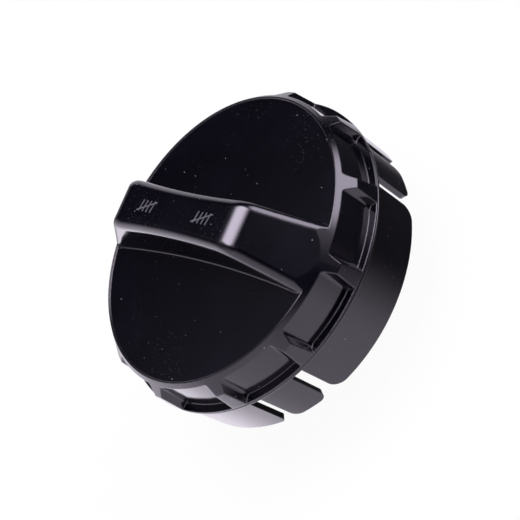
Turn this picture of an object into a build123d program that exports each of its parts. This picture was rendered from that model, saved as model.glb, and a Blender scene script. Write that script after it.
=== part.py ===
"""Fuel filler cap with a ribbed grip cover, a slotted skirt and a vented, torque-limited threaded plug.

Millimetres. +Z runs up the cap's axis, +X along the turning bar. The origin is on the axis at the
open end of the plug, the face that the cap stands on. Depths are measured down from the round face.
"""
from build123d import *
import os
from math import asin, atan2, cos, degrees, radians, sin, tan

os.makedirs("parts", exist_ok=True)

# --- Overall -------------------------------------------------------------------------------------
plug_reach = 36.0  # open end of the plug up to the round face
moving_gap = 0.3  # between pieces that move past each other
pivot_clearance = 0.05  # radial, between the grip and its pivot pin
overlap = 0.4  # of forms that join into one piece, and of cutters past a surface

# --- Grip cover ----------------------------------------------------------------------------------
ring_radius = 39.5
ring_thickness = 0.5
rim_setback = 0.4  # of the ribs' front ends inside the ring
bevel_run = 3.1
bevel_drop = 3.7
face_recess = 0.3  # the round face lies this far below its lip
face_lip = 0.35
face_thickness = 2.3
cover_depth = 10.5
cover_wall = 4.5
groove = 0.15  # bevel on both sides of the parting line
pivot_boss_radius = 6.5
pivot_hole_rise = 4.0  # of the blind hole above the round face

# --- Ribs and pockets of the rim -----------------------------------------------------------------
rib_count = 12
rib_foot_front = 2.1  # half widths, where the rib stands on the pocket's floor and at its top
rib_foot_rear = 2.4
rib_top_front = 1.25
rib_top_rear = 2.05
pocket_depth = 2.0  # below the ribs
pocket_corner = 1.0

# --- Turning bar ---------------------------------------------------------------------------------
bar_height = 13.5
bar_half_width = 6.4
bar_flare_radius = 320.0  # each side is hollowed to this radius
bar_ramp_run = 14.6  # from the foot of each ramp, at the edge of the face, in to its top
bar_draft = 3.0  # degrees
bar_ridge_radius = 8.0
bar_edge_radius = 2.4
bar_wall = 2.3
bar_core_margin = 1.0  # from the bar's hollow out to the cover's bore

# --- Skirt ring ----------------------------------------------------------------------------------
flange_thickness = 0.6
skirt_depth = 24.4
skirt_setback = 0.75  # inside the ring
skirt_taper = 0.5
skirt_wall = 1.5
skirt_turn = 0.3  # degrees, of the slot pattern from the bar
spigot_clearance = 0.05
finger_offset = 46.7  # degrees, from the skirt's own axis to the middle of a finger
finger_angle = 14.2
slot_angle = 4.5
finger_corner = 2.2
end_panel_corner = 3.2  # of the two panels under the bar's ends
side_panel_corner = 1.2
finger_bead = 0.7
finger_bead_angle = 9.5
finger_bead_depth = 21.0

# --- Closure body --------------------------------------------------------------------------------
closure_flange_clearance = 0.8  # radial, inside the cover's teeth
closure_flange_depth = 7.2
closure_flange_thickness = 2.2
flange_overhang = 2.5  # of the flange outside the hub
hub_length = 3.0  # below the flange
lip_clearance = 0.5  # radial, between the hub and the skirt's lip
core_pocket_count = 6
core_pocket_angle = 44.0
core_pocket_margin = 1.0  # inside the torque ring's outside
core_pocket_width = 3.8
core_pocket_depth = 3.0
plug_neck_radius = 20.0
plug_neck_length = 4.0
plug_root_radius = 18.3
plug_end_chamfer = 0.8
chamber_radius = 15.2
lower_chamber_radius = 14.5
chamber_floor_depth = 22.6
chamber_floor_thickness = 1.8
valve_port_radius = 8.0
valve_seat_width = 1.4
valve_seat_height = 0.8
base_recess = 2.6  # from the open end up to the shoulder of the bottom plate
base_recess_radius = 15.8

# --- Thread --------------------------------------------------------------------------------------
thread_crest_radius = 20.6
thread_pitch = 6.0
thread_turns = 1.75
thread_crest_width = 1.5
thread_root_width = 3.3
thread_start_depth = 32.0

# --- Gasket and lid seal -------------------------------------------------------------------------
gasket_outer_radius = 28.6
gasket_thickness = 2.4
gasket_bead_radius = 24.6
gasket_bead_half_width = 1.2
gasket_bead_height = 0.9
gasket_bead_crest = 0.5  # half width of the bead at its top
lid_seal_radius = 17.1
lid_seal_width = 2.0
lid_seal_height = 1.4

# --- Torque ring and the teeth it works against --------------------------------------------------
tooth_count = 12
tooth_height = 1.6
tooth_angle = 6.0
tooth_crest_angle = 1.2
torque_ring_inner = 21.4
torque_ring_thickness = 2.6
pawl_count = 3
pawl_relief = 1.4  # between the torque ring and the arms
pawl_thickness = 1.4
pawl_tip_height = 4.5  # from the inside of the arm
pawl_tip_clearance = 0.7  # to the cover's bore
pawl_arc = 52.0
pawl_tip_angle = 4.6
pawl_root_angle = 6.0
key_count = 3
key_height = 1.4
key_clearance = 0.1

# --- Lid, pivot and washers ----------------------------------------------------------------------
lid_radius = 19.0
lid_rim_clearance = 0.1
lid_thickness = 1.6
lid_rise = 0.2  # above the closure's flange
lid_vent_count = 3
lid_vent_radius = 0.8
lid_vent_circle = 13.6
pivot_pin_radius = 3.0
pivot_pin_rise = 3.0  # above the round face
washer_clearance = 0.3
thrust_washer_radius = 9.0
thrust_washer_thickness = 0.6
spring_washer_radius = 8.4
spring_washer_bore = 4.2
spring_washer_thickness = 0.3
spring_washer_rise = 0.6

# --- Pressure valve ------------------------------------------------------------------------------
pressure_plate_radius = 12.6
pressure_plate_thickness = 1.6
pressure_plate_bore = 5.0
pressure_seal_inner = 7.5
pressure_seal_outer = 11.0
pressure_seal_thickness = 1.0
pressure_spring_radius = 9.6
pressure_spring_wire = 1.1
pressure_spring_turns = 3.0
spring_collar_width = 0.7
spring_collar_height = 0.9
spring_clearance = 0.1
spring_seat_thickness = 0.5
spring_seat_radius = 12.0
spring_seat_bore = 5.5

# --- Vacuum valve --------------------------------------------------------------------------------
spider_hub_radius = 2.8
spider_arm_count = 3
spider_arm_width = 1.6
stem_radius = 1.4
stem_clearance = 0.08
stem_neck_radius = 1.0
stem_tip = 0.5
poppet_radius = 6.9
poppet_thickness = 1.2
vacuum_seal_thickness = 0.8
vacuum_seal_inset = 0.1  # of the seal's rim inside the poppet's
vacuum_spring_length = 5.4
vacuum_spring_radius = 2.2
vacuum_spring_wire = 0.5
vacuum_spring_turns = 3.5
stem_clip_thickness = 0.5
stem_clip_radius = 3.1
stem_clip_slot = 1.4
clip_clearance = 0.04

# --- Plug bottom ---------------------------------------------------------------------------------
base_plate_clearance = 0.1
base_plate_thickness = 1.4
base_slot_count = 6
base_slot_width = 2.4
base_slot_inner = 5.0
base_slot_outer = 12.6
screen_thickness = 0.4
screen_clearance = 0.1
screen_hole = 2.2
screen_pitch = 3.6


def level(depth):
    """Height of a plane that lies this far below the round face."""
    return plug_reach - depth


def keep(part, name):
    """Label a finished piece and write it to its own file."""
    part.label = name
    export_step(part, f"parts/{name}.step")


def polar(radius, angle):
    """Point at this radius and angle in degrees from +X."""
    return (radius * cos(radians(angle)), radius * sin(radians(angle)))


def section_plane(angle):
    """Upright plane through the axis, turned by this angle in degrees from +X."""
    across = (sin(radians(angle)), -cos(radians(angle)), 0)
    return Plane(origin=(0, 0, 0), x_dir=(*polar(1, angle), 0), z_dir=across)


def between(front_value, rear_value, front_depth, rear_depth, depth):
    """Value on the straight line from a front value to a rear one, at this depth."""
    return front_value + (rear_value - front_value) * (depth - front_depth) / (rear_depth - front_depth)


# --- Radii that follow from the ring, out to in ---------------------------------------------------
rim_radius = ring_radius - rim_setback
face_radius = rim_radius - bevel_run
cover_bore_radius = ring_radius - cover_wall
skirt_top_radius = ring_radius - skirt_setback
skirt_end_radius = skirt_top_radius - skirt_taper
tooth_tip_radius = cover_bore_radius - tooth_height
closure_flange_radius = tooth_tip_radius - closure_flange_clearance
hub_radius = closure_flange_radius - flange_overhang
pawl_tip_radius = cover_bore_radius - pawl_tip_clearance
pawl_inner = pawl_tip_radius - pawl_tip_height
pawl_outer = pawl_inner + pawl_thickness
torque_ring_outer = pawl_inner - pawl_relief
core_pocket_outer = torque_ring_outer - core_pocket_margin
core_pocket_inner = core_pocket_outer - core_pocket_width

# --- Turning bar, as one form that is also made smaller to core it out ---------------------------
bar_foot = face_radius
bar_ridge = bar_foot - bar_ramp_run
ramp_angle = degrees(atan2(bar_height, bar_ramp_run))


def bar_plan(half_width, end):
    """Plan of the bar out to end, with both of its long sides hollowed."""
    corner = half_width + end**2 / (2 * bar_flare_radius)
    with BuildSketch() as plan:
        with BuildLine():
            ThreePointArc((-end, -corner), (0, -half_width), (end, -corner))
            Line((end, -corner), (end, corner))
            ThreePointArc((end, corner), (0, half_width), (-end, corner))
            Line((-end, corner), (-end, -corner))
        make_face()
    return plan.sketch


def bar_form(shrink, root_depth, edge_radius, ridge_radius):
    """The bar from root_depth below the face, with its walls and top moved in by shrink."""
    root = level(root_depth)
    top = level(0) + bar_height - shrink
    half_width = bar_half_width - shrink + root_depth * tan(radians(bar_draft))
    ridge = bar_ridge - shrink * tan(radians(ramp_angle / 2))
    foot = bar_foot - shrink / sin(radians(ramp_angle))
    run = 1 / tan(radians(ramp_angle))
    overshoot = 6.0
    end = foot + (root_depth + overshoot) * run
    with BuildPart() as form:
        with BuildSketch(Plane.XY.offset(root)):
            add(bar_plan(half_width, end))
        extrude(amount=top - root, taper=bar_draft)
        with BuildSketch(Plane.XZ):
            with BuildLine():
                Polyline(
                    (ridge - overshoot * run, top + overshoot),
                    (end, level(root_depth + overshoot)),
                    (end + overshoot, level(root_depth + overshoot)),
                    (end + overshoot, top + overshoot),
                    close=True,
                )
            make_face()
            mirror(about=Plane.YZ)
        extrude(amount=end, both=True, mode=Mode.SUBTRACT)
        if ridge_radius > 0:
            ridges = form.edges().filter_by(Axis.Y).group_by(Axis.Z)[-1]
            fillet(ridges, radius=ridge_radius)
        if edge_radius > 0:
            long_edges = form.edges().filter_by(
                lambda edge: abs(edge.center().Y) > bar_half_width / 2 and edge.center().Z > level(0)
            )
            fillet(long_edges, radius=edge_radius)
    return form.part


with BuildPart() as bar_outer:
    add(bar_form(0, face_thickness / 2, bar_edge_radius, bar_ridge_radius))

with BuildPart() as bar_core:
    add(bar_form(bar_wall, face_thickness, 0, bar_ridge_radius - bar_wall))
    with BuildSketch(Plane.XY.offset(level(face_thickness))):
        Circle(cover_bore_radius - bar_core_margin)
        Circle(pivot_boss_radius, mode=Mode.SUBTRACT)
    extrude(amount=bar_height + face_thickness, mode=Mode.INTERSECT)

# --- One pocket of the rim, drafted so that it is wider in front ---------------------------------
pocket_rear_depth = cover_depth - ring_thickness
pocket_half_pitch = 180 / rib_count


def pocket_outline(depth):
    """Sector between two ribs at this depth, with its two inner corners rounded."""
    top_radius = between(rim_radius, ring_radius, bevel_drop, pocket_rear_depth, depth)
    floor_radius = top_radius - pocket_depth
    outer_radius = ring_radius + overlap
    foot_half = between(rib_foot_front, rib_foot_rear, 0, pocket_rear_depth, depth)
    top_half = between(rib_top_front, rib_top_rear, bevel_drop, pocket_rear_depth, depth)
    cutter_half = between(foot_half, top_half, floor_radius, top_radius, outer_radius)
    inner_half = pocket_half_pitch - degrees(asin(foot_half / floor_radius))
    outer_half = pocket_half_pitch - degrees(asin(cutter_half / outer_radius))
    with BuildSketch(Plane.XY.offset(level(depth))) as outline:
        with BuildLine():
            CenterArc((0, 0), floor_radius, -inner_half, 2 * inner_half)
            CenterArc((0, 0), outer_radius, -outer_half, 2 * outer_half)
            for side in (-1, 1):
                Line(
                    Vector(floor_radius, 0).rotate(Axis.Z, side * inner_half),
                    Vector(outer_radius, 0).rotate(Axis.Z, side * outer_half),
                )
        make_face()
        middle_radius = (floor_radius + outer_radius) / 2
        inner_corners = outline.vertices().filter_by(lambda corner: Vector(corner).length < middle_radius)
        fillet(inner_corners, radius=pocket_corner)
    return outline.sketch


with BuildPart() as pocket_cut:
    add(pocket_outline(pocket_rear_depth))
    add(pocket_outline(0))
    loft()


# --- Levels of the closure's stack, from the flange up to the grip -------------------------------
lid_top_depth = closure_flange_depth - lid_rise
lid_seat_depth = lid_top_depth + lid_thickness
thrust_top_depth = lid_top_depth - thrust_washer_thickness
spring_washer_top_depth = thrust_top_depth - spring_washer_thickness - spring_washer_rise
pivot_boss_end_depth = spring_washer_top_depth - moving_gap
closure_flange_end_depth = closure_flange_depth + closure_flange_thickness
hub_end_depth = closure_flange_end_depth + hub_length
lip_top_depth = closure_flange_end_depth + moving_gap
flange_end_depth = cover_depth + flange_thickness

# --- Grip cover ----------------------------------------------------------------------------------
with BuildPart() as grip_cover:
    with BuildSketch(Plane.XZ):
        with BuildLine():
            Polyline(
                (0, level(face_recess)),
                (face_radius - face_lip, level(face_recess)),
                (face_radius - face_lip, level(0)),
                (ring_radius, level(0)),
                (ring_radius, level(cover_depth - groove)),
                (ring_radius - groove, level(cover_depth)),
                (cover_bore_radius, level(cover_depth)),
                (cover_bore_radius, level(face_thickness)),
                (0, level(face_thickness)),
                close=True,
            )
        make_face()
    revolve(axis=Axis.Z)
    add(bar_outer.part)
    bevel_rise = bar_height + overlap  # one slope bevels the rim and trims the bar's ends
    with BuildSketch(Plane.XZ):
        with BuildLine():
            Polyline(
                (face_radius - bevel_rise * bevel_run / bevel_drop, level(-bevel_rise)),
                (rim_radius, level(bevel_drop)),
                (ring_radius, level(pocket_rear_depth)),
                (ring_radius + overlap, level(pocket_rear_depth)),
                (ring_radius + overlap, level(-bevel_rise)),
                close=True,
            )
        make_face()
    revolve(axis=Axis.Z, mode=Mode.SUBTRACT)
    with PolarLocations(0, rib_count, start_angle=pocket_half_pitch):
        add(pocket_cut.part, mode=Mode.SUBTRACT)
    add(bar_core.part, mode=Mode.SUBTRACT)
    with BuildSketch(Plane.XY.offset(level(pivot_boss_end_depth))):
        Circle(pivot_boss_radius)
    extrude(amount=pivot_boss_end_depth - face_thickness)
    with BuildSketch(Plane.XY.offset(level(pivot_boss_end_depth))):
        Circle(pivot_pin_radius + pivot_clearance)
    extrude(amount=pivot_boss_end_depth + pivot_hole_rise, mode=Mode.SUBTRACT)
    tooth_root_radius = cover_bore_radius + overlap
    with BuildSketch(Plane.XY.offset(level(closure_flange_depth - moving_gap))):
        with PolarLocations(0, tooth_count):
            with BuildLine():
                Polyline(
                    polar(tooth_root_radius, -tooth_angle),
                    polar(tooth_tip_radius, -tooth_crest_angle),
                    polar(tooth_tip_radius, 0),
                    polar(tooth_root_radius, 0),
                    close=True,
                )
            make_face()
    extrude(amount=closure_flange_depth - moving_gap - face_thickness)

# --- Skirt ring ----------------------------------------------------------------------------------
lip_inner_radius = hub_radius + lip_clearance
skirt_length = skirt_depth - flange_end_depth
fingers = [(skirt_turn + side + finger_offset * hand, hand) for side in (0, 180) for hand in (-1, 1)]
slot_width = radians(slot_angle) * skirt_top_radius
slot_offset = (finger_angle + slot_angle) / 2


def slot_outline(finger_side, panel_corner):
    """Slot up the skirt, flared below to round the finger on finger_side and the panel opposite."""
    overrun = 2.0
    reach = max(panel_corner, finger_corner) + overlap
    with BuildSketch() as outline:
        with Locations((0, (skirt_length - overrun) / 2)):
            Rectangle(slot_width, skirt_length + overrun)
        with Locations((0, -overrun / 2)):
            Rectangle(slot_width + 2 * reach, overrun)
        for side in (-1, 1):
            corner = outline.vertices().sort_by_distance((side * slot_width / 2, 0))[0]
            fillet(corner, radius=finger_corner if side == finger_side else panel_corner)
    return outline.sketch


with BuildPart() as skirt_ring:
    with BuildSketch(Plane.XZ):
        with BuildLine():
            Polyline(
                (lip_inner_radius, level(lip_top_depth)),
                (cover_bore_radius - spigot_clearance, level(lip_top_depth)),
                (cover_bore_radius - spigot_clearance, level(cover_depth)),
                (ring_radius - groove, level(cover_depth)),
                (ring_radius, level(cover_depth + groove)),
                (ring_radius, level(flange_end_depth)),
                (skirt_top_radius, level(flange_end_depth)),
                (skirt_end_radius, level(skirt_depth)),
                (skirt_end_radius - skirt_wall, level(skirt_depth)),
                (skirt_top_radius - skirt_wall, level(flange_end_depth)),
                (lip_inner_radius, level(flange_end_depth)),
                close=True,
            )
        make_face()
    revolve(axis=Axis.Z)
    for middle, hand in fingers:
        for slot_hand in (-1, 1):
            angle = middle + slot_hand * slot_offset
            tangent = (*polar(1, angle + 90), 0)
            panel_corner = side_panel_corner if slot_hand == hand else end_panel_corner
            wall_plane = Plane(origin=(0, 0, level(skirt_depth)), x_dir=tangent, z_dir=(*polar(1, angle), 0))
            with BuildSketch(wall_plane.offset(skirt_end_radius - 2 * skirt_wall)):
                add(slot_outline(-slot_hand, panel_corner))
            extrude(amount=4 * skirt_wall, mode=Mode.SUBTRACT)
    for middle, _ in fingers:
        with BuildSketch(section_plane(middle - finger_bead_angle / 2)):
            with Locations((skirt_end_radius - skirt_wall, level(finger_bead_depth))):
                Circle(finger_bead)
        revolve(axis=Axis.Z, revolution_arc=finger_bead_angle)

# --- Closure body --------------------------------------------------------------------------------
chamber_floor_end_depth = chamber_floor_depth + chamber_floor_thickness
base_shoulder_depth = plug_reach - base_recess
plug_neck_end_depth = hub_end_depth + plug_neck_length
lid_bore_radius = lid_radius + lid_rim_clearance


def core_outline(clearance):
    """Outline of one coring pocket of the flange, made smaller all round by the clearance."""
    inner = core_pocket_inner + clearance
    outer = core_pocket_outer - clearance
    half = core_pocket_angle / 2 - degrees(clearance / core_pocket_inner)
    with BuildSketch() as outline:
        with BuildLine():
            CenterArc((0, 0), inner, -half, 2 * half)
            CenterArc((0, 0), outer, -half, 2 * half)
            Line(polar(inner, -half), polar(outer, -half))
            Line(polar(inner, half), polar(outer, half))
        make_face()
    return outline.sketch


with BuildPart() as thread:
    with BuildLine():
        lead = Helix(
            pitch=thread_pitch,
            height=thread_pitch * thread_turns,
            radius=plug_root_radius,
            center=(0, 0, level(thread_start_depth)),
        )
    with BuildSketch(Plane(origin=lead @ 0, x_dir=(1, 0, 0), z_dir=lead % 0)):
        with BuildLine():
            Polyline(
                (-overlap, -thread_root_width / 2),
                (thread_crest_radius - plug_root_radius, -thread_crest_width / 2),
                (thread_crest_radius - plug_root_radius, thread_crest_width / 2),
                (-overlap, thread_root_width / 2),
                close=True,
            )
        make_face()
    sweep(path=lead, is_frenet=True)

with BuildPart() as closure_body:
    with BuildSketch(Plane.XZ):
        with BuildLine():
            Polyline(
                (closure_flange_radius, level(closure_flange_depth)),
                (closure_flange_radius, level(closure_flange_end_depth)),
                (hub_radius, level(closure_flange_end_depth)),
                (hub_radius, level(hub_end_depth)),
                (plug_neck_radius, level(hub_end_depth)),
                (plug_neck_radius, level(plug_neck_end_depth)),
                (plug_root_radius, level(plug_neck_end_depth + plug_neck_radius - plug_root_radius)),
                (plug_root_radius, plug_end_chamfer),
                (plug_root_radius - plug_end_chamfer, 0),
                (base_recess_radius, 0),
                (base_recess_radius, level(base_shoulder_depth)),
                (lower_chamber_radius, level(base_shoulder_depth)),
                (lower_chamber_radius, level(chamber_floor_end_depth)),
                (valve_port_radius, level(chamber_floor_end_depth)),
                (valve_port_radius, level(chamber_floor_depth - valve_seat_height)),
                (valve_port_radius + valve_seat_width, level(chamber_floor_depth - valve_seat_height)),
                (valve_port_radius + valve_seat_width, level(chamber_floor_depth)),
                (chamber_radius, level(chamber_floor_depth)),
                (chamber_radius, level(lid_seat_depth)),
                (lid_seal_radius - lid_seal_width / 2, level(lid_seat_depth)),
                (lid_seal_radius - lid_seal_width / 2, level(lid_seat_depth + lid_seal_height)),
                (lid_seal_radius + lid_seal_width / 2, level(lid_seat_depth + lid_seal_height)),
                (lid_seal_radius + lid_seal_width / 2, level(lid_seat_depth)),
                (lid_bore_radius, level(lid_seat_depth)),
                (lid_bore_radius, level(closure_flange_depth)),
                close=True,
            )
        make_face()
    revolve(axis=Axis.Z)
    with BuildSketch(Plane.XY.offset(level(closure_flange_depth + core_pocket_depth))):
        with PolarLocations(0, core_pocket_count):
            add(core_outline(0))
    extrude(amount=core_pocket_depth, mode=Mode.SUBTRACT)
    add(thread.part)

# --- Neck gasket and lid seal --------------------------------------------------------------------
with BuildPart() as neck_gasket:
    gasket_end = level(hub_end_depth + gasket_thickness)
    with BuildSketch(Plane.XZ):
        with BuildLine():
            Polyline(
                (plug_neck_radius, gasket_end),
                (plug_neck_radius, level(hub_end_depth)),
                (gasket_outer_radius, level(hub_end_depth)),
                (gasket_outer_radius, gasket_end),
                (gasket_bead_radius + gasket_bead_half_width, gasket_end),
                (gasket_bead_radius + gasket_bead_crest, gasket_end - gasket_bead_height),
                (gasket_bead_radius - gasket_bead_crest, gasket_end - gasket_bead_height),
                (gasket_bead_radius - gasket_bead_half_width, gasket_end),
                close=True,
            )
        make_face()
    revolve(axis=Axis.Z)

with BuildPart() as lid_seal:
    with BuildSketch(Plane.XY.offset(level(lid_seat_depth + lid_seal_height))):
        Circle(lid_seal_radius + lid_seal_width / 2)
        Circle(lid_seal_radius - lid_seal_width / 2, mode=Mode.SUBTRACT)
    extrude(amount=lid_seal_height)

# --- Torque ring ---------------------------------------------------------------------------------
pawl_start = degrees(moving_gap / pawl_tip_radius)
torque_ring_end = level(closure_flange_depth)
with BuildPart() as torque_ring:
    with BuildSketch(Plane.XY.offset(torque_ring_end)):
        Circle(torque_ring_outer)
        Circle(torque_ring_inner, mode=Mode.SUBTRACT)
        with PolarLocations(0, pawl_count):
            with BuildLine():
                CenterArc((0, 0), pawl_inner, pawl_start, pawl_arc)
                CenterArc((0, 0), pawl_outer, pawl_start + pawl_tip_angle, pawl_arc - pawl_tip_angle)
                Line(polar(pawl_inner, pawl_start + pawl_arc), polar(pawl_outer, pawl_start + pawl_arc))
                Polyline(
                    polar(pawl_inner, pawl_start),
                    polar(pawl_tip_radius, pawl_start),
                    polar(pawl_tip_radius, pawl_start + tooth_crest_angle),
                    polar(pawl_outer, pawl_start + pawl_tip_angle),
                )
            make_face()
            root_start = pawl_start + pawl_arc - pawl_root_angle
            root_inner = torque_ring_outer - pawl_thickness / 2
            with BuildLine():
                Polyline(
                    polar(root_inner, root_start),
                    polar(pawl_inner + pawl_thickness / 2, root_start),
                    polar(pawl_outer - pawl_thickness / 4, pawl_start + pawl_arc),
                    polar(root_inner, pawl_start + pawl_arc),
                    close=True,
                )
            make_face()
    extrude(amount=torque_ring_thickness)
    with BuildSketch(Plane.XY.offset(torque_ring_end - key_height)):
        with PolarLocations(0, key_count):
            add(core_outline(key_clearance))
    extrude(amount=key_height)

# --- Valve lid with its pivot pin, and the washers on it -----------------------------------------
with BuildPart() as valve_lid:
    with BuildSketch(Plane.XY.offset(level(lid_seat_depth))):
        Circle(lid_radius)
        with PolarLocations(lid_vent_circle, lid_vent_count):
            Circle(lid_vent_radius, mode=Mode.SUBTRACT)
    extrude(amount=lid_thickness)
    with BuildSketch(Plane.XY.offset(level(lid_top_depth))):
        Circle(pivot_pin_radius)
    extrude(amount=lid_top_depth + pivot_pin_rise)

with BuildPart() as thrust_washer:
    with BuildSketch(Plane.XY.offset(level(lid_top_depth))):
        Circle(thrust_washer_radius)
        Circle(pivot_pin_radius + washer_clearance, mode=Mode.SUBTRACT)
    extrude(amount=thrust_washer_thickness)

with BuildPart() as spring_washer:
    with BuildSketch(Plane.XZ):
        with BuildLine():
            Polyline(
                (spring_washer_radius, level(thrust_top_depth)),
                (spring_washer_radius, level(thrust_top_depth - spring_washer_thickness)),
                (spring_washer_bore, level(spring_washer_top_depth)),
                (spring_washer_bore, level(spring_washer_top_depth + spring_washer_thickness)),
                close=True,
            )
        make_face()
    revolve(axis=Axis.Z)

# --- Pressure valve ------------------------------------------------------------------------------
pressure_seal_end_depth = chamber_floor_depth - valve_seat_height - moving_gap
plate_end_depth = pressure_seal_end_depth - pressure_seal_thickness
plate_top_depth = plate_end_depth - pressure_plate_thickness
collar_radius = pressure_spring_radius - pressure_spring_wire / 2 - spring_clearance
spring_seat_end_depth = lid_seat_depth + spring_seat_thickness

with BuildPart() as pressure_plate:
    with BuildSketch(Plane.XY.offset(level(plate_end_depth))):
        Circle(pressure_plate_radius)
        Circle(pressure_plate_bore, mode=Mode.SUBTRACT)
        with PolarLocations(0, spider_arm_count):
            Rectangle(pressure_plate_bore + overlap, spider_arm_width, align=(Align.MIN, Align.CENTER))
        Circle(spider_hub_radius)
        Circle(stem_radius + stem_clearance, mode=Mode.SUBTRACT)
    extrude(amount=pressure_plate_thickness)
    with BuildSketch(Plane.XY.offset(level(plate_top_depth))):
        Circle(collar_radius)
        Circle(collar_radius - spring_collar_width, mode=Mode.SUBTRACT)
    extrude(amount=spring_collar_height)

with BuildPart() as pressure_seal:
    with BuildSketch(Plane.XY.offset(level(pressure_seal_end_depth))):
        Circle(pressure_seal_outer)
        Circle(pressure_seal_inner, mode=Mode.SUBTRACT)
    extrude(amount=pressure_seal_thickness)

with BuildPart() as spring_seat:
    with BuildSketch(Plane.XY.offset(level(spring_seat_end_depth))):
        Circle(spring_seat_radius)
        Circle(spring_seat_bore, mode=Mode.SUBTRACT)
    extrude(amount=spring_seat_thickness)
    with BuildSketch(Plane.XY.offset(level(spring_seat_end_depth + spring_collar_height))):
        Circle(collar_radius)
        Circle(collar_radius - spring_collar_width, mode=Mode.SUBTRACT)
    extrude(amount=spring_collar_height)


def coil_spring(radius, wire, turns, lower_depth, upper_depth):
    """Coil of square wire between two depths, clear of what it bears on at both ends."""
    lower = level(lower_depth) + wire / 2 + spring_clearance
    upper = level(upper_depth) - wire / 2 - spring_clearance
    with BuildPart() as coil:
        with BuildLine():
            path = Helix(pitch=(upper - lower) / turns, height=upper - lower, radius=radius, center=(0, 0, lower))
        with BuildSketch(Plane(origin=path @ 0, x_dir=(1, 0, 0), z_dir=path % 0)):
            Rectangle(wire, wire)
        sweep(path=path, is_frenet=True)
    return coil.part


with BuildPart() as pressure_spring:
    add(
        coil_spring(
            pressure_spring_radius,
            pressure_spring_wire,
            pressure_spring_turns,
            plate_top_depth,
            spring_seat_end_depth,
        )
    )

# --- Vacuum valve --------------------------------------------------------------------------------
clip_end_depth = plate_top_depth - vacuum_spring_length
clip_top_depth = clip_end_depth - stem_clip_thickness
vacuum_seal_top_depth = plate_end_depth + moving_gap
poppet_top_depth = vacuum_seal_top_depth + vacuum_seal_thickness

with BuildPart() as vacuum_poppet:
    with BuildSketch(Plane.XY.offset(level(poppet_top_depth + poppet_thickness))):
        Circle(poppet_radius)
    extrude(amount=poppet_thickness)
    with BuildSketch(Plane.XY.offset(level(poppet_top_depth))):
        Circle(stem_radius)
    extrude(amount=poppet_top_depth - clip_end_depth)
    with BuildSketch(Plane.XY.offset(level(clip_end_depth))):
        Circle(stem_neck_radius)
    extrude(amount=stem_clip_thickness)
    with BuildSketch(Plane.XY.offset(level(clip_top_depth))):
        Circle(stem_radius)
    extrude(amount=stem_tip)

with BuildPart() as vacuum_seal:
    with BuildSketch(Plane.XY.offset(level(poppet_top_depth))):
        Circle(poppet_radius - vacuum_seal_inset)
        Circle(stem_radius + stem_clearance, mode=Mode.SUBTRACT)
    extrude(amount=vacuum_seal_thickness)

with BuildPart() as stem_clip:
    with BuildSketch(Plane.XY.offset(level(clip_end_depth))):
        Circle(stem_clip_radius)
        Circle(stem_neck_radius + clip_clearance, mode=Mode.SUBTRACT)
        Rectangle(stem_clip_radius * 2, stem_clip_slot, align=(Align.MIN, Align.CENTER), mode=Mode.SUBTRACT)
    extrude(amount=stem_clip_thickness)

with BuildPart() as vacuum_spring:
    add(
        coil_spring(
            vacuum_spring_radius,
            vacuum_spring_wire,
            vacuum_spring_turns,
            plate_top_depth,
            clip_end_depth,
        )
    )

# --- Bottom plate and screen ---------------------------------------------------------------------
with BuildPart() as base_plate:
    with BuildSketch(Plane.XY.offset(level(base_shoulder_depth + base_plate_thickness))):
        Circle(base_recess_radius - base_plate_clearance)
        with PolarLocations((base_slot_inner + base_slot_outer) / 2, base_slot_count):
            SlotOverall(base_slot_outer - base_slot_inner, base_slot_width, mode=Mode.SUBTRACT)
    extrude(amount=base_plate_thickness)

with BuildPart() as base_screen:
    screen_count = int((lower_chamber_radius * 2 - screen_hole) / screen_pitch)
    with BuildSketch(Plane.XY.offset(level(base_shoulder_depth))):
        Circle(lower_chamber_radius - screen_clearance)
        with GridLocations(screen_pitch, screen_pitch, screen_count, screen_count) as grid:
            holes = [spot for spot in grid.locations if spot.position.length < lower_chamber_radius - screen_pitch]
        with Locations(holes):
            Rectangle(screen_hole, screen_hole, mode=Mode.SUBTRACT)
    extrude(amount=screen_thickness)

# --- Finished pieces -----------------------------------------------------------------------------
keep(grip_cover.part, "grip_cover")
keep(skirt_ring.part, "skirt_ring")
keep(closure_body.part, "closure_body")
keep(neck_gasket.part, "neck_gasket")
keep(lid_seal.part, "lid_seal")
keep(torque_ring.part, "torque_ring")
keep(valve_lid.part, "valve_lid")
keep(thrust_washer.part, "thrust_washer")
keep(spring_washer.part, "spring_washer")
keep(pressure_plate.part, "pressure_plate")
keep(pressure_seal.part, "pressure_seal")
keep(pressure_spring.part, "pressure_spring")
keep(spring_seat.part, "spring_seat")
keep(vacuum_poppet.part, "vacuum_poppet")
keep(vacuum_seal.part, "vacuum_seal")
keep(stem_clip.part, "stem_clip")
keep(vacuum_spring.part, "vacuum_spring")
keep(base_plate.part, "base_plate")
keep(base_screen.part, "base_screen")
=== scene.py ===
"""Studio scene of a screw-in fuel filler cap.

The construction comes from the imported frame: every piece keeps its place and size. This script
gives each piece its finish, adds the moulded marks, winds both springs in round wire, and sets the
floor, light and camera.
Lengths are metres in the cap's own frame: +Z up the axis, +X along the turning bar.
"""
import logging
import math
from dataclasses import dataclass, field
from enum import Enum
from typing import Any

import bpy
from mathutils import Matrix, Vector


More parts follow.
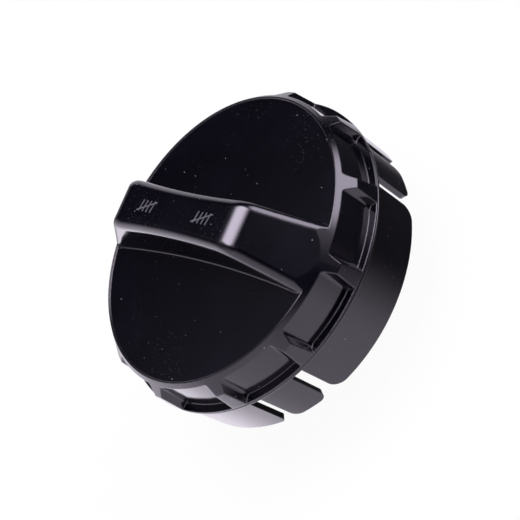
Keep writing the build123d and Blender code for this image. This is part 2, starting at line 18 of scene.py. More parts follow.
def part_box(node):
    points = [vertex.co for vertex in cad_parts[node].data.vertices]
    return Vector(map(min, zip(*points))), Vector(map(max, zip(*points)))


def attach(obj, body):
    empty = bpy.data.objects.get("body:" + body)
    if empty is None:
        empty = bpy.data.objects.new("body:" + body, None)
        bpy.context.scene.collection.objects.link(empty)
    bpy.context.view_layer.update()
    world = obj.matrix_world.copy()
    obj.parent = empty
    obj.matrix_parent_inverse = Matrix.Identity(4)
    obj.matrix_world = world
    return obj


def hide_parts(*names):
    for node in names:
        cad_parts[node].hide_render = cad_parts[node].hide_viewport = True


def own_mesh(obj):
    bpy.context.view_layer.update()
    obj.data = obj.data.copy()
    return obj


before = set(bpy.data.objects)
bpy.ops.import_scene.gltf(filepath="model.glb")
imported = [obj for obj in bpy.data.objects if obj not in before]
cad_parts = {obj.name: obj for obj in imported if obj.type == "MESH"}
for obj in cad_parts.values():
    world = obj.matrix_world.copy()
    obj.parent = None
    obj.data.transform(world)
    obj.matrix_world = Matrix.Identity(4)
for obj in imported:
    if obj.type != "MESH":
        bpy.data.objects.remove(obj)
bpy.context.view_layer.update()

LOG = logging.getLogger("filler_cap")
MM = 0.001
Colour = tuple[float, float, float]
Point = tuple[float, float, float]
Span = tuple[float, float]
LIGHT_TINT: Colour = (0.99, 0.94, 1.04)
WHITE: Colour = (1.0, 1.0, 1.0)
NOISE_MIDDLE = 0.5


class Grain(Enum):
    """How the surface of a moulded piece was textured in its tool."""

    POLISHED = "polished"
    SATIN = "satin"
    SPARKED = "sparked"


GRAIN_HEIGHT = {Grain.POLISHED: 0.0006 * MM, Grain.SATIN: 0.0012 * MM, Grain.SPARKED: 0.012 * MM}


# --- Shader and geometry trees --------------------------------------------------------------------


@dataclass(frozen=True)
class Wire:
    """One output socket, with arithmetic that adds Math nodes to its tree."""

    tree: "Tree"
    socket: Any

    def _math(self, operation: str, first: Any, second: Any, clamp: bool = False) -> "Wire":
        """Add one Math node.

        Args:
            operation: The Math node's operation.
            first: Its first value or wire.
            second: Its second value or wire.
            clamp: Whether the result is kept between 0 and 1.

        Returns:
            The node's result.
        """
        settings = {"operation": operation, "use_clamp": clamp}
        return self.tree.node("ShaderNodeMath", settings, {0: first, 1: second})["Value"]

    def __add__(self, other: Any) -> "Wire":
        """Sum."""
        return self._math("ADD", self, other)

    __radd__ = __add__

    def __mul__(self, other: Any) -> "Wire":
        """Product."""
        return self._math("MULTIPLY", self, other)

    __rmul__ = __mul__

    def __sub__(self, other: Any) -> "Wire":
        """Difference."""
        return self._math("SUBTRACT", self, other)

    def __rsub__(self, other: Any) -> "Wire":
        """Difference with the wire taken away."""
        return self._math("SUBTRACT", other, self)

    def below(self, limit: Any) -> "Wire":
        """1 where the wire is under the limit, otherwise 0."""
        return self._math("LESS_THAN", self, limit)

    def clamped(self) -> "Wire":
        """The wire kept between 0 and 1."""
        return self._math("ADD", self, 0.0, clamp=True)


class Made(dict[str, Wire]):
    """The outputs of one node by name, as wires, and the node itself."""

    maker: Any


class Tree:
    """A node tree that is built by calls."""

    def __init__(self, graph: Any) -> None:
        """Start from an empty tree.

        Args:
            graph: The shader or geometry tree to fill.
        """
        self.graph = graph
        self.graph.nodes.clear()

    def node(
        self,
        kind: str,
        settings: dict[str, Any] | None = None,
        sockets: dict[str | int, Any] | None = None,
    ) -> Made:
        """Add a node.

        Args:
            kind: The node's type.
            settings: Its properties, set before its sockets.
            sockets: Values or wires for its inputs, by name or number.

        Returns:
            Its outputs by name.
        """
        made = self.graph.nodes.new(kind)
        for name, value in (settings or {}).items():
            setattr(made, name, value)
        for name, value in (sockets or {}).items():
            socket = made.inputs[name]
            if isinstance(value, Wire):
                self.graph.links.new(value.socket, socket)
            elif socket.type == "RGBA":
                socket.default_value = (*value, 1.0)
            else:
                socket.default_value = value
        outputs = Made({out.name: Wire(self, out) for out in made.outputs if out.enabled})
        outputs.maker = made
        return outputs

    def feed(self, made: Made, wires: tuple[Wire, ...]) -> None:
        """Lead more wires into a node's first socket, which takes several.

        Args:
            made: The node's outputs.
            wires: What it gets.
        """
        for wire in wires:
            self.graph.links.new(wire.socket, made.maker.inputs[0])

    def blend(self, factor: Any, first: Any, second: Any) -> Wire:
        """Mix two colours.

        Args:
            factor: 0 for the first colour, 1 for the second.
            first: A colour or wire.
            second: A colour or wire.

        Returns:
            The mixed colour.
        """
        made = self.node("ShaderNodeMix", {"data_type": "RGBA"}, {0: factor, 6: first, 7: second})
        return Wire(self, made.maker.outputs[2])

    def bump(self, distance: float, height: Wire, normal: Wire | None = None) -> Wire:
        """Turn a height into a normal.

        Args:
            distance: How deep a height of 1 is.
            height: The height.
            normal: The normal that it starts from, where that isn't the surface's own.

        Returns:
            The bumped normal.
        """
        sockets: dict[str | int, Any] = {"Distance": distance, "Height": height}
        if normal is not None:
            sockets["Normal"] = normal
        return self.node("ShaderNodeBump", None, sockets)["Normal"]

    def dot(self, first: Any, second: Any) -> Wire:
        """Dot product of two vectors."""
        settings = {"operation": "DOT_PRODUCT"}
        return self.node("ShaderNodeVectorMath", settings, {0: first, 1: second})["Value"]

    def vector(self, **parts: Any) -> Wire:
        """Join values or wires for X, Y and Z into a vector."""
        return self.node("ShaderNodeCombineXYZ", None, parts)["Vector"]


def smooth_step(tree: Tree, wire: Wire, low: float, high: float) -> Wire:
    """Ease from 0 at low to 1 at high.

    Args:
        tree: The tree that holds the wire.
        wire: The value to ease.
        low: Where the result leaves 0.
        high: Where the result reaches 1.

    Returns:
        The eased value.
    """
    made = tree.node(
        "ShaderNodeMapRange",
        {"interpolation_type": "SMOOTHSTEP", "clamp": True},
        {"Value": wire, "From Min": low, "From Max": high, "To Min": 0.0, "To Max": 1.0},
    )
    return made["Result"]


@dataclass(frozen=True)
class Cloud:
    """A fractal noise: features to the metre, octaves, and the weight of the finer octaves."""

    per_metre: float
    octaves: float = 2.0
    fineness: float = 0.5

    def grow(self, tree: Tree, place: Wire) -> Wire:
        """Add the noise to a tree.

        Args:
            tree: The tree to add to.
            place: Object coordinates.

        Returns:
            The noise, about NOISE_MIDDLE.
        """
        made = tree.node(
            "ShaderNodeTexNoise",
            {"noise_dimensions": "3D"},
            {
                "Vector": place,
                "Scale": self.per_metre,
                "Detail": self.octaves,
                "Roughness": self.fineness,
            },
        )
        return made["Fac"]


@dataclass(frozen=True)
class Specks:
    """Round specks strewn at random in cells, of which a share holds one.

    The size is the largest radius as a share of a cell, and the cover is how much a speck hides.
    """

    per_metre: float
    share: float
    size: float
    cover: float

    def grow(self, tree: Tree, place: Wire, amount: float) -> Wire:
        """Add the specks to a tree.

        Args:
            tree: The tree to add to.
            place: Object coordinates.
            amount: 1 for the share as given, less for fewer specks.

        Returns:
            The cover on a speck, otherwise 0.
        """
        cells = tree.node(
            "ShaderNodeTexVoronoi",
            {"feature": "F1", "voronoi_dimensions": "3D"},
            {"Vector": place, "Scale": self.per_metre, "Randomness": 1.0},
        )
        parts = tree.node("ShaderNodeSeparateColor", None, {"Color": cells["Color"]})
        inside = cells["Distance"].below(parts["Green"] * self.size)
        return inside * parts["Red"].below(self.share * amount) * self.cover


# --- Finishes -------------------------------------------------------------------------------------


@dataclass(frozen=True)
class Finish:
    """What all finishes share: a name and a way to make their material."""

    name: str

    def material(self) -> bpy.types.Material:
        """Return the finish's material, made once.

        Returns:
            The material.
        """
        known = bpy.data.materials.get(self.name)
        if known is not None:
            return known
        made = bpy.data.materials.new(self.name)
        made.use_nodes = True
        tree = Tree(made.node_tree)
        shader = tree.node("ShaderNodeBsdfPrincipled", None, self.surface(tree))
        tree.node("ShaderNodeOutputMaterial", None, {"Surface": shader["BSDF"]})
        return made

    def surface(self, tree: Tree) -> dict[str, Any]:
        """Give the shader's sockets their values and wires."""
        raise NotImplementedError


@dataclass(frozen=True)
class MouldedPlastic(Finish):
    """Injection-moulded black plastic with tool texture, soft edges and settled dust."""

    colour: Colour
    sheen_colour: Colour
    roughness: float
    grain: Grain
    edge_radius: float
    dust: float = 0.0
    gloss: float = 1.0
    gloss_tint: Colour = (0.95, 0.90, 1.0)
    refraction: float = 1.5
    flow: Cloud = Cloud(70.0, 3.0)
    flow_span: Span = (0.35, 0.7)
    flow_in_roughness: float = 0.04
    mottle: Cloud = Cloud(380.0, 4.0, 0.65)
    mottle_in_roughness: float = 0.05
    mottle_in_height: float = 1.2
    texture: Cloud = Cloud(2600.0, 2.0, 0.6)
    # Lighter colour along edges: partly rubbed wear, partly a painted highlight line.
    wear_and_highlight_colour: Colour = (0.060, 0.058, 0.070)
    edge_wear_and_highlight: float = 0.6
    edge_bend: Span = (0.02, 0.22)
    edge_samples: int = 8
    rubbing: Cloud = Cloud(1400.0, 3.0, 0.6)
    rubbing_span: Span = (0.38, 0.62)
    dust_colour: Colour = (0.62, 0.62, 0.66)
    dust_in_roughness: float = 0.4
    motes: Specks = Specks(2300.0, 0.010, 0.27, 0.60)
    powder: Specks = Specks(4600.0, 0.10, 0.40, 0.20)
    powder_patch: Cloud = Cloud(45.0)
    powder_span: Span = (0.45, 0.68)

    def surface(self, tree: Tree) -> dict[str, Any]:
        """Give the shader's sockets their values.

        Args:
            tree: The material's tree.

        Returns:
            Values and wires by socket.
        """
        place = tree.node("ShaderNodeTexCoord")["Object"]
        flow = self.flow.grow(tree, place)
        mottle = self.mottle.grow(tree, place)
        rounded = tree.node(
            "ShaderNodeBevel", {"samples": self.edge_samples}, {"Radius": self.edge_radius}
        )["Normal"]
        sheen = smooth_step(tree, flow, *self.flow_span)
        colour = tree.blend(sheen, self.colour, self.sheen_colour)
        # Edges lightened: partly rubbed wear, partly a painted highlight along them.
        colour = tree.blend(self._wear_and_highlight(tree, place, rounded), colour, self.wear_and_highlight_colour)
        rough = (
            self.roughness
            + (mottle - NOISE_MIDDLE) * self.mottle_in_roughness
            + (flow - NOISE_MIDDLE) * self.flow_in_roughness
        )
        if self.dust > 0:
            cover = self._dust_cover(tree, place)
            colour = tree.blend(cover, colour, self.dust_colour)
            rough = rough + cover * self.dust_in_roughness
        height = self.texture.grow(tree, place) + mottle * self.mottle_in_height
        return {
            "Base Color": colour,
            "Roughness": rough,
            "IOR": self.refraction,
            "Specular IOR Level": self.gloss,
            "Specular Tint": self.gloss_tint,
            "Normal": tree.bump(GRAIN_HEIGHT[self.grain], height, rounded),
        }

    def _wear_and_highlight(self, tree: Tree, place: Wire, rounded: Wire) -> Wire:
        """Find the edges that are lightened: partly rubbed wear, partly a painted highlight along
        them.

        Args:
            tree: The material's tree.
            place: Object coordinates.
            rounded: The normal with the edges softened.

        Returns:
            How much an edge is lightened, by wear and by painted highlight.
        """
        flat = tree.node("ShaderNodeNewGeometry")["Normal"]
        edge = smooth_step(tree, 1.0 - tree.dot(rounded, flat), *self.edge_bend)
        rubbed = smooth_step(tree, self.rubbing.grow(tree, place), *self.rubbing_span)
        return edge * rubbed * self.edge_wear_and_highlight

    def _dust_cover(self, tree: Tree, place: Wire) -> Wire:
        """Strew motes all over, and powder in patches.

        Args:
            tree: The material's tree.
            place: Object coordinates.

        Returns:
            How much dust covers the surface.
        """
        patch = smooth_step(tree, self.powder_patch.grow(tree, place), *self.powder_span)
        motes = self.motes.grow(tree, place, self.dust)
        return (motes + self.powder.grow(tree, place, self.dust) * patch).clamped()


@dataclass(frozen=True)
class SealRubber(Finish):
    """Moulded sealing rubber with bloom in its texture."""

    colour: Colour = (0.012, 0.012, 0.013)
    bloom_colour: Colour = (0.035, 0.034, 0.033)
    bloom: Cloud = Cloud(160.0, 4.0, 0.6)
    bloom_span: Span = (0.45, 0.75)
    bloom_in_roughness: float = 0.2
    roughness: float = 0.62
    texture: Cloud = Cloud(3000.0)
    texture_height: float = 0.01 * MM

    def surface(self, tree: Tree) -> dict[str, Any]:
        """Give the shader's sockets their values.

        Args:
            tree: The material's tree.

        Returns:
            Values and wires by socket.
        """
        place = tree.node("ShaderNodeTexCoord")["Object"]
        bloom = self.bloom.grow(tree, place)
        bloomed = smooth_step(tree, bloom, *self.bloom_span)
        height = self.texture.grow(tree, place) + bloom
        return {
            "Base Color": tree.blend(bloomed, self.colour, self.bloom_colour),
            "Roughness": self.roughness + (bloom - NOISE_MIDDLE) * self.bloom_in_roughness,
            "Normal": tree.bump(self.texture_height, height),
        }


@dataclass(frozen=True)
class Acetal(Finish):
    """Natural acetal: milky, slightly waxy, with faint flow lines."""

    colour: Colour = (0.78, 0.77, 0.72)
    shade_colour: Colour = (0.70, 0.68, 0.60)
    flow: Cloud = Cloud(120.0, 5.0, 0.55)
    flow_span: Span = (0.35, 0.7)
    flow_in_roughness: float = 0.15
    roughness: float = 0.38
    texture: Cloud = Cloud(1800.0)
    texture_height: float = 0.006 * MM

    def surface(self, tree: Tree) -> dict[str, Any]:
        """Give the shader's sockets their values.

        Args:
            tree: The material's tree.

        Returns:
            Values and wires by socket.
        """
        place = tree.node("ShaderNodeTexCoord")["Object"]
        flow = self.flow.grow(tree, place)
        shaded = smooth_step(tree, flow, *self.flow_span)
        return {
            "Base Color": tree.blend(shaded, self.colour, self.shade_colour),
            "Roughness": self.roughness + (flow - NOISE_MIDDLE) * self.flow_in_roughness,
            "Normal": tree.bump(self.texture_height, self.texture.grow(tree, place)),
        }


@dataclass(frozen=True)
class DrawnSteel(Finish):
    """Spring wire or pressed sheet with fine drawing lines."""

    colour: Colour = (0.56, 0.57, 0.59)
    stain_colour: Colour = (0.36, 0.34, 0.31)
    stain: Cloud = Cloud(140.0, 4.0)
    stain_span: Span = (0.5, 0.85)
    roughness: float = 0.28
    lines: Cloud = Cloud(700.0, 3.0, 0.7)
    lines_squeeze: Point = (1.0, 1.0, 14.0)
    lines_in_roughness: float = 0.25
    lines_height: float = 0.004 * MM

    def surface(self, tree: Tree) -> dict[str, Any]:
        """Give the shader's sockets their values.

        Args:
            tree: The material's tree.

        Returns:
            Values and wires by socket.
        """
        place = tree.node("ShaderNodeTexCoord")["Object"]
        squeezed = tree.node(
            "ShaderNodeMapping", None, {"Vector": place, "Scale": self.lines_squeeze}
        )
        lines = self.lines.grow(tree, squeezed["Vector"])
        stained = smooth_step(tree, self.stain.grow(tree, place), *self.stain_span)
        return {
            "Base Color": tree.blend(stained, self.colour, self.stain_colour),
            "Metallic": 1.0,
            "Roughness": self.roughness + (lines - NOISE_MIDDLE) * self.lines_in_roughness,
            "Normal": tree.bump(self.lines_height, lines),
        }


COVER_PLASTIC = MouldedPlastic(
    "satin_black_cover",
    colour=(0.0013, 0.0013, 0.0033),
    sheen_colour=(0.0022, 0.0021, 0.0052),
    roughness=0.13,
    grain=Grain.SATIN,
    edge_radius=0.5 * MM,
    dust=1.0,
)
SKIRT_PLASTIC = MouldedPlastic(
    "smooth_black_skirt",
    colour=(0.0017, 0.0017, 0.0030),
    sheen_colour=(0.0027, 0.0026, 0.0048),
    roughness=0.15,
    grain=Grain.POLISHED,
    edge_radius=0.3 * MM,
    dust=0.5,
)
BODY_PLASTIC = MouldedPlastic(
    "black_plug_plastic",
    colour=(0.010, 0.010, 0.011),
    sheen_colour=(0.015, 0.015, 0.016),
    roughness=0.40,
    grain=Grain.SPARKED,
    edge_radius=0.2 * MM,
)
MARK_PLASTIC = MouldedPlastic(
    "rubbed_black_marks",
    colour=(0.085, 0.082, 0.100),
    sheen_colour=(0.140, 0.135, 0.160),
    roughness=0.42,
    grain=Grain.SATIN,
    edge_radius=0.05 * MM,
)
RUBBER = SealRubber("sealing_rubber")
WHITE_ACETAL = Acetal("natural_acetal")
STEEL = DrawnSteel("drawn_steel")


# --- Pieces ---------------------------------------------------------------------------------------


def dress(finish: Finish, *nodes: str) -> None:
    """Give carried-over pieces their finish.

    Args:
        finish: The finish that they get.
        nodes: The pieces' names in the frame.
    """
    material = finish.material()
    for node in nodes:
        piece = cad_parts[node]
        if not piece.material_slots:
            piece.data.materials.append(material)
        for slot in piece.material_slots:
            slot.material = material
        LOG.info("%s dressed in %s", node, finish.name)


def new_group(name: str, inputs: dict[str, str]) -> tuple[Tree, Made]:
    """Start a Geometry Nodes group with named inputs.

    Args:
        name: The group's name.
        inputs: Each input's name with its kind, Float or Int.

    Returns:
        The group's tree and the outputs of its input node.
    """
    group = bpy.data.node_groups.new(name, "GeometryNodeTree")
    group.interface.new_socket("Geometry", in_out="OUTPUT", socket_type="NodeSocketGeometry")
    for label, kind in inputs.items():
        group.interface.new_socket(label, in_out="INPUT", socket_type=f"NodeSocket{kind}")
    tree = Tree(group)
    return tree, tree.node("NodeGroupInput")


def close_group(tree: Tree, geometry: Wire, finish: Finish) -> None:
    """End a Geometry Nodes group with real geometry in its finish.

    Args:
        tree: The group's tree.
        geometry: What the group has made.
        finish: The finish that it gets.
    """
    real = tree.node("GeometryNodeRealizeInstances", None, {"Geometry": geometry})
    dressed = tree.node(
        "GeometryNodeSetMaterial",
        None,
        {"Geometry": real["Geometry"], "Material": finish.material()},
    )
    tree.node("NodeGroupOutput", None, {0: dressed["Geometry"]})


def grow(name: str, group: Any, values: dict[str, float]) -> bpy.types.Object:
    """Run a Geometry Nodes group and keep its result as a plain mesh piece.

    Args:
        name: The piece's name.
        group: The node group.
        values: The group's inputs by name.

    Returns:
        The piece.
    """
    carrier = bpy.data.objects.new(f"{name}_carrier", bpy.data.meshes.new(f"{name}_carrier"))
    bpy.context.scene.collection.objects.link(carrier)
    modifier = carrier.modifiers.new("Grow", "NODES")
    modifier.node_group = group
    for item in group.interface.items_tree:
        if item.item_type == "SOCKET" and item.in_out == "INPUT":
            modifier[item.identifier] = values[item.name]
    graph = bpy.context.evaluated_depsgraph_get()
    mesh = bpy.data.meshes.new_from_object(carrier.evaluated_get(graph), depsgraph=graph)
    carrier.modifiers.clear()
    bpy.data.objects.remove(carrier)
    piece = bpy.data.objects.new(name, mesh)
    bpy.context.scene.collection.objects.link(piece)
    LOG.info("%s built: %d faces", name, len(mesh.polygons))
    return piece


@dataclass
class TallyMarks:
    """Two counts of raised strokes on top of the turning bar, each struck through."""

    stroke_height: float = 0.12 * MM
    stroke_length: float = 2.9 * MM
    stroke_width: float = 0.30 * MM
    stroke_pitch: float = 1.45 * MM
    stroke_count: int = 4
    slant_degrees: float = 12.0
    cross_length: float = 7.0 * MM
    cross_degrees: float = -68.0
    cross_rise: float = 0.03 * MM
    from_axis: float = 10.5 * MM
    sink: float = 0.05 * MM

    def build(self) -> None:
        """Make both counts as one piece on the grip."""
        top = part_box("grip_cover")[1][2]
        marks = grow(
            "tally_marks",
            self._group(),
            {
                "Count": self.stroke_count,
                "Pitch": self.stroke_pitch,
                "From Axis": self.from_axis,
                "Length": self.stroke_length,
                "Width": self.stroke_width,
                "Height": self.stroke_height + self.sink,
                "Level": top + (self.stroke_height - self.sink) / 2,
                "Slant": math.radians(self.slant_degrees),
                "Cross Length": self.cross_length,
                "Cross Turn": math.radians(self.cross_degrees),
                "Cross Rise": self.cross_rise,
            },
        )
        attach(marks, "grip")

    def _group(self) -> Any:
        """Build the strokes' Geometry Nodes group.

        Returns:
            The node group.
        """
        lengths = ("Pitch", "From Axis", "Length", "Width", "Height", "Level")
        crossing = ("Slant", "Cross Length", "Cross Turn", "Cross Rise")
        sizes = {name: "Float" for name in lengths + crossing}
        tree, given = new_group("tally_strokes", {"Count": "Int"} | sizes)
        stroke = self._bar(tree, given["Width"], given["Length"], given["Height"])
        cross = self._bar(tree, given["Width"], given["Cross Length"], given["Height"])
        step = tree.vector(X=given["Pitch"])
        turn = tree.vector(Z=-1.0 * given["Slant"])
        cross_turn = tree.vector(Z=given["Cross Turn"])
        both = tree.node("GeometryNodeJoinGeometry")
        for side in (-1.0, 1.0):
            middle = given["From Axis"] * side
            first = middle - given["Pitch"] * (given["Count"] - 1.0) * 0.5
            start = tree.vector(X=first, Z=given["Level"])
            line = tree.node(
                "GeometryNodeMeshLine",
                {"mode": "OFFSET"},
                {"Count": given["Count"], "Start Location": start, "Offset": step},
            )
            placed = tree.node(
                "GeometryNodeInstanceOnPoints",
                None,
                {"Points": line["Mesh"], "Instance": stroke, "Rotation": turn},
            )
            centre = tree.vector(X=middle, Z=given["Level"] + given["Cross Rise"])
            crossed = tree.node(
                "GeometryNodeTransform",
                None,
                {"Geometry": cross, "Translation": centre, "Rotation": cross_turn},
            )
            tree.feed(both, (placed["Instances"], crossed["Geometry"]))
        close_group(tree, both["Geometry"], MARK_PLASTIC)
        return tree.graph

    def _bar(self, tree: Tree, width: Wire, length: Wire, height: Wire) -> Wire:
        """Add one straight stroke.

        Args:
            tree: The group's tree.
            width: Across the stroke.
            length: Along the stroke.
            height: Up the stroke.

        Returns:
            The stroke's mesh.
        """
        size = tree.vector(X=width, Y=length, Z=height)
        return tree.node("GeometryNodeMeshCube", None, {"Size": size})["Mesh"]


@dataclass
class CoilSpring:
    """A compression spring of round wire, wound in the place of its plain solid."""

    name: str
    node: str
    body: str
    joint: str
    travel: float
    turns: float
    wire: float
    held_at_top: bool
    steps_per_turn: int = 48
    wire_sides: int = 14

    def build(self) -> None:
        """Make the spring in the place of its plain solid."""
        low, high = (Vector(corner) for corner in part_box(self.node))
        spring = grow(
            self.name,
            self._group(),
            {
                "Radius": high.x - self.wire / 2,
                "Wire Radius": self.wire / 2,
                "Rise": high.z - low.z - self.wire,
                "Level": low.z + self.wire / 2,
                "Turns": self.turns,
                "Steps": self.steps_per_turn,
                "Sides": self.wire_sides,
            },
        )
        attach(spring, self.body)
        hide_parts(self.node)
        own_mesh(spring)

    def _group(self) -> Any:
        """Build the spring's Geometry Nodes group, shared by all springs.

        Returns:
            The node group.
        """
        known = bpy.data.node_groups.get("spring_wire")
        if known is not None:
            return known
        sizes = {name: "Float" for name in ("Radius", "Wire Radius", "Rise", "Level", "Turns")}
        tree, given = new_group("spring_wire", sizes | {"Steps": "Int", "Sides": "Int"})
        coil = tree.node(
            "GeometryNodeCurveSpiral",
            None,
            {
                "Resolution": given["Steps"],
                "Rotations": given["Turns"],
                "Start Radius": given["Radius"],
                "End Radius": given["Radius"],
                "Height": given["Rise"],
            },
        )
        section = tree.node(
            "GeometryNodeCurvePrimitiveCircle",
            None,
            {"Resolution": given["Sides"], "Radius": given["Wire Radius"]},
        )
        wire = tree.node(
            "GeometryNodeCurveToMesh",
            None,
            {"Curve": coil["Curve"], "Profile Curve": section["Curve"], "Fill Caps": True},
        )
        lift = tree.vector(Z=given["Level"])
        raised = tree.node(
            "GeometryNodeTransform", None, {"Geometry": wire["Mesh"], "Translation": lift}
        )
        smooth = tree.node("GeometryNodeSetShadeSmooth", None, {"Geometry": raised["Geometry"]})
        close_group(tree, smooth["Geometry"], STEEL)
        return tree.graph


@dataclass
class GripHead:
    """The part that is held and turned: cover, skirt and their moulded marks."""

    marks: TallyMarks = field(default_factory=TallyMarks)

    def build(self) -> None:
        """Dress the cover and skirt and add the marks."""
        dress(COVER_PLASTIC, "grip_cover")
        dress(SKIRT_PLASTIC, "skirt_ring")
        self.marks.build()


@dataclass
class Plug:
    """The part that screws into the neck, with its seals, torque ring and bottom."""

    plastic_nodes: tuple[str, ...] = ("closure_body", "valve_lid", "base_plate")
    rubber_nodes: tuple[str, ...] = ("neck_gasket", "lid_seal")
    acetal_nodes: tuple[str, ...] = ("torque_ring",)
    steel_nodes: tuple[str, ...] = ("thrust_washer", "spring_washer", "spring_seat", "base_screen")
    spring: CoilSpring = field(
        default_factory=lambda: CoilSpring(
            name="pressure_coil",
            node="pressure_spring",
            body="closure",
            joint="pressure_lift",
            travel=2.5 * MM,
            turns=3.0,
            wire=1.1 * MM,
            held_at_top=True,
        )
    )

    def build(self) -> None:
        """Dress the plug's pieces and wind its spring."""
        self.spring.build()
        dress(BODY_PLASTIC, *self.plastic_nodes)
        dress(RUBBER, *self.rubber_nodes)
        dress(WHITE_ACETAL, *self.acetal_nodes)
        dress(STEEL, *self.steel_nodes)


@dataclass
class Valves:
    """The pressure valve and the vacuum valve that sits in it."""

    acetal_nodes: tuple[str, ...] = ("pressure_plate", "vacuum_poppet")
    rubber_nodes: tuple[str, ...] = ("pressure_seal", "vacuum_seal")
    steel_nodes: tuple[str, ...] = ("stem_clip",)
    spring: CoilSpring = field(
        default_factory=lambda: CoilSpring(
            name="vacuum_coil",
            node="vacuum_spring",
            body="pressure_valve",
            joint="vacuum_open",
            travel=2.0 * MM,
            turns=3.5,
            wire=0.5 * MM,
            held_at_top=False,
        )
    )

    def build(self) -> None:
        """Dress the valves' pieces and wind their spring."""
        self.spring.build()
        dress(WHITE_ACETAL, *self.acetal_nodes)
        dress(RUBBER, *self.rubber_nodes)
        dress(STEEL, *self.steel_nodes)


# --- Studio ---------------------------------------------------------------------------------------


@dataclass(frozen=True)
class Glow:
    """A soft round patch of light in the surroundings.

    The two edges are cosines of the angle from its middle: begins is where its light starts, and
    full is where it has its whole strength.
    """

    towards: Point
    begins: float
    full: float
    strength: float


@dataclass(frozen=True)
class SoftBox:
    """A rectangular lamp that faces the cap."""

    name: str
    towards: Point
    across: Point
    distance: float
    width: float
    height: float
    radiance: float

    def build(self, target: Vector) -> None:
        """Place the lamp.

        Args:
            target: The point that it faces.
        """
        lamp = bpy.data.lights.new(self.name, "AREA")
        lamp.shape = "RECTANGLE"
        lamp.size = self.width
        lamp.size_y = self.height
        lamp.energy = self.radiance * math.pi * self.width * self.height
        lamp.color = LIGHT_TINT
        piece = bpy.data.objects.new(self.name, lamp)
        bpy.context.scene.collection.objects.link(piece)
        direction = Vector(self.towards).normalized()
        side = Vector(self.across)
        side = (side - direction * side.dot(direction)).normalized()
        turn = Matrix((side, direction.cross(side), direction)).transposed()
        piece.matrix_world = Matrix.Translation(target + direction * self.distance) @ turn.to_4x4()
        LOG.info("lamp %s placed", self.name)


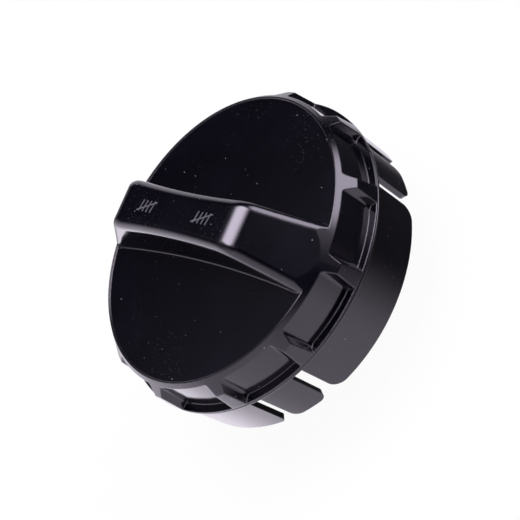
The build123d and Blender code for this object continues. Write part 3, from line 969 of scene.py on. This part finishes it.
@dataclass
class Studio:
    """Floor, backdrop, lamps and camera."""

    floor_half_size: float = 3.0
    floor_colour: Colour = (0.86, 0.86, 0.86)
    floor_shadow_share: float = 0.05
    camera_place: Point = (0.26758, -0.04992, 0.24363)
    camera_right: Point = (0.63119, 0.39170, -0.66945)
    camera_up: Point = (-0.15236, 0.90891, 0.38816)
    camera_forward: Point = (-0.76051, 0.14301, -0.63338)
    lens_mm: float = 102.6
    sensor_mm: float = 36.0
    near_clip: float = 10.0 * MM
    lamp_target: Point = (0.0, 0.0, 30.0 * MM)
    ambient: float = 0.006
    backdrop_in_gloss: float = 0.006
    glows: tuple[Glow, ...] = (
        # Far side of the cap, low: what the ribs and the skirt's near wall mirror.
        Glow((-0.762, -0.619, -0.160), 0.66, 0.99, 0.95),
        Glow((-0.621, -0.451, -0.641), 0.80, 0.97, 0.7),
        Glow((-0.763, 0.620, -0.180), 0.80, 0.97, 0.8),
        Glow((-0.600, 0.250, -0.760), 0.90, 0.975, 1.0),
        # Left and right, low: broad fills.
        Glow((0.152, -0.909, -0.388), -0.05, 0.62, 0.85),
        Glow((0.300, 0.698, -0.650), 0.50, 0.90, 0.03),
        # Right, raised: a bright core in a wider, dimmer patch.
        Glow((0.372, 0.802, 0.467), 0.86, 0.98, 3.4),
        Glow((0.495, 0.743, 0.446), 0.70, 1.00, 0.65),
        # Overhead: a faint patch over the face and a strong one over the bar's ridge.
        Glow((-0.351, -0.080, 0.933), 0.80, 0.90, 0.11),
        Glow((-0.130, 0.260, 0.957), 0.900, 0.99, 6.6),
    )
    lamps: tuple[SoftBox, ...] = (
        SoftBox(
            name="overhead_box",
            towards=(-0.115, 0.14, 0.984),
            across=(1.0, 0.0, 0.0),
            distance=0.50,
            width=0.52,
            height=0.31,
            radiance=0.6,
        ),
    )

    def build(self) -> None:
        """Set the stage."""
        self._floor()
        self._world()
        for lamp in self.lamps:
            lamp.build(Vector(self.lamp_target))
        self._camera()
        bpy.context.scene.view_settings.view_transform = "Standard"

    def _floor(self) -> None:
        """A plain pale floor that keeps the cap's shadow."""
        half = self.floor_half_size
        mesh = bpy.data.meshes.new("floor")
        corners = [(-half, -half, 0), (half, -half, 0), (half, half, 0), (-half, half, 0)]
        mesh.from_pydata(corners, [], [(0, 1, 2, 3)])
        floor = bpy.data.objects.new("floor", mesh)
        bpy.context.scene.collection.objects.link(floor)
        material = bpy.data.materials.new("pale_floor")
        material.use_nodes = True
        tree = Tree(material.node_tree)
        paths = tree.node("ShaderNodeLightPath")
        matt = tree.node("ShaderNodeBsdfDiffuse", None, {"Color": self.floor_colour})
        white = tree.node("ShaderNodeEmission", None, {"Color": WHITE, "Strength": 1.0})
        seen = (paths["Is Camera Ray"] + paths["Is Transmission Ray"]).clamped()
        mixed = tree.node(
            "ShaderNodeMixShader",
            None,
            {0: seen * (1.0 - self.floor_shadow_share), 1: matt["BSDF"], 2: white["Emission"]},
        )
        tree.node("ShaderNodeOutputMaterial", None, {"Surface": mixed["Shader"]})
        mesh.materials.append(material)
        floor.visible_glossy = False

    def _world(self) -> None:
        """White to the camera, and to the cap a dim room with its glows."""
        world = bpy.data.worlds.new("studio")
        bpy.context.scene.world = world
        world.use_nodes = True
        tree = Tree(world.node_tree)
        direction = tree.node("ShaderNodeTexCoord")["Generated"]
        level: Any = None
        for glow in self.glows:
            aim = tree.dot(direction, glow.towards)
            patch = smooth_step(tree, aim, glow.begins, glow.full) * glow.strength
            level = patch if level is None else level + patch
        room = tree.node(
            "ShaderNodeBackground", None, {"Color": LIGHT_TINT, "Strength": level + self.ambient}
        )
        white = tree.node("ShaderNodeBackground", None, {"Color": WHITE, "Strength": 1.0})
        paths = tree.node("ShaderNodeLightPath")
        seen = paths["Is Camera Ray"] + paths["Is Transmission Ray"]
        seen = (seen + paths["Is Glossy Ray"] * self.backdrop_in_gloss).clamped()
        mixed = tree.node(
            "ShaderNodeMixShader",
            None,
            {0: seen, 1: room["Background"], 2: white["Background"]},
        )
        tree.node("ShaderNodeOutputWorld", None, {"Surface": mixed["Shader"]})

    def _camera(self) -> None:
        """The camera, rolled so that the cap's axis leans to the upper left."""
        data = bpy.data.cameras.new("camera")
        data.lens = self.lens_mm
        data.sensor_width = self.sensor_mm
        data.sensor_height = self.sensor_mm
        data.clip_start = self.near_clip
        camera = bpy.data.objects.new("camera", data)
        bpy.context.scene.collection.objects.link(camera)
        columns = (Vector(self.camera_right), Vector(self.camera_up), -Vector(self.camera_forward))
        turn = Matrix(tuple(column.normalized() for column in columns)).transposed()
        camera.matrix_world = Matrix.Translation(self.camera_place) @ turn.to_4x4()
        bpy.context.scene.camera = camera


def main() -> None:
    """Build every piece in order."""
    logging.basicConfig(level=logging.INFO, format="%(name)s: %(message)s")
    GripHead().build()
    Plug().build()
    Valves().build()
    Studio().build()


if __name__ == "__main__":
    main()
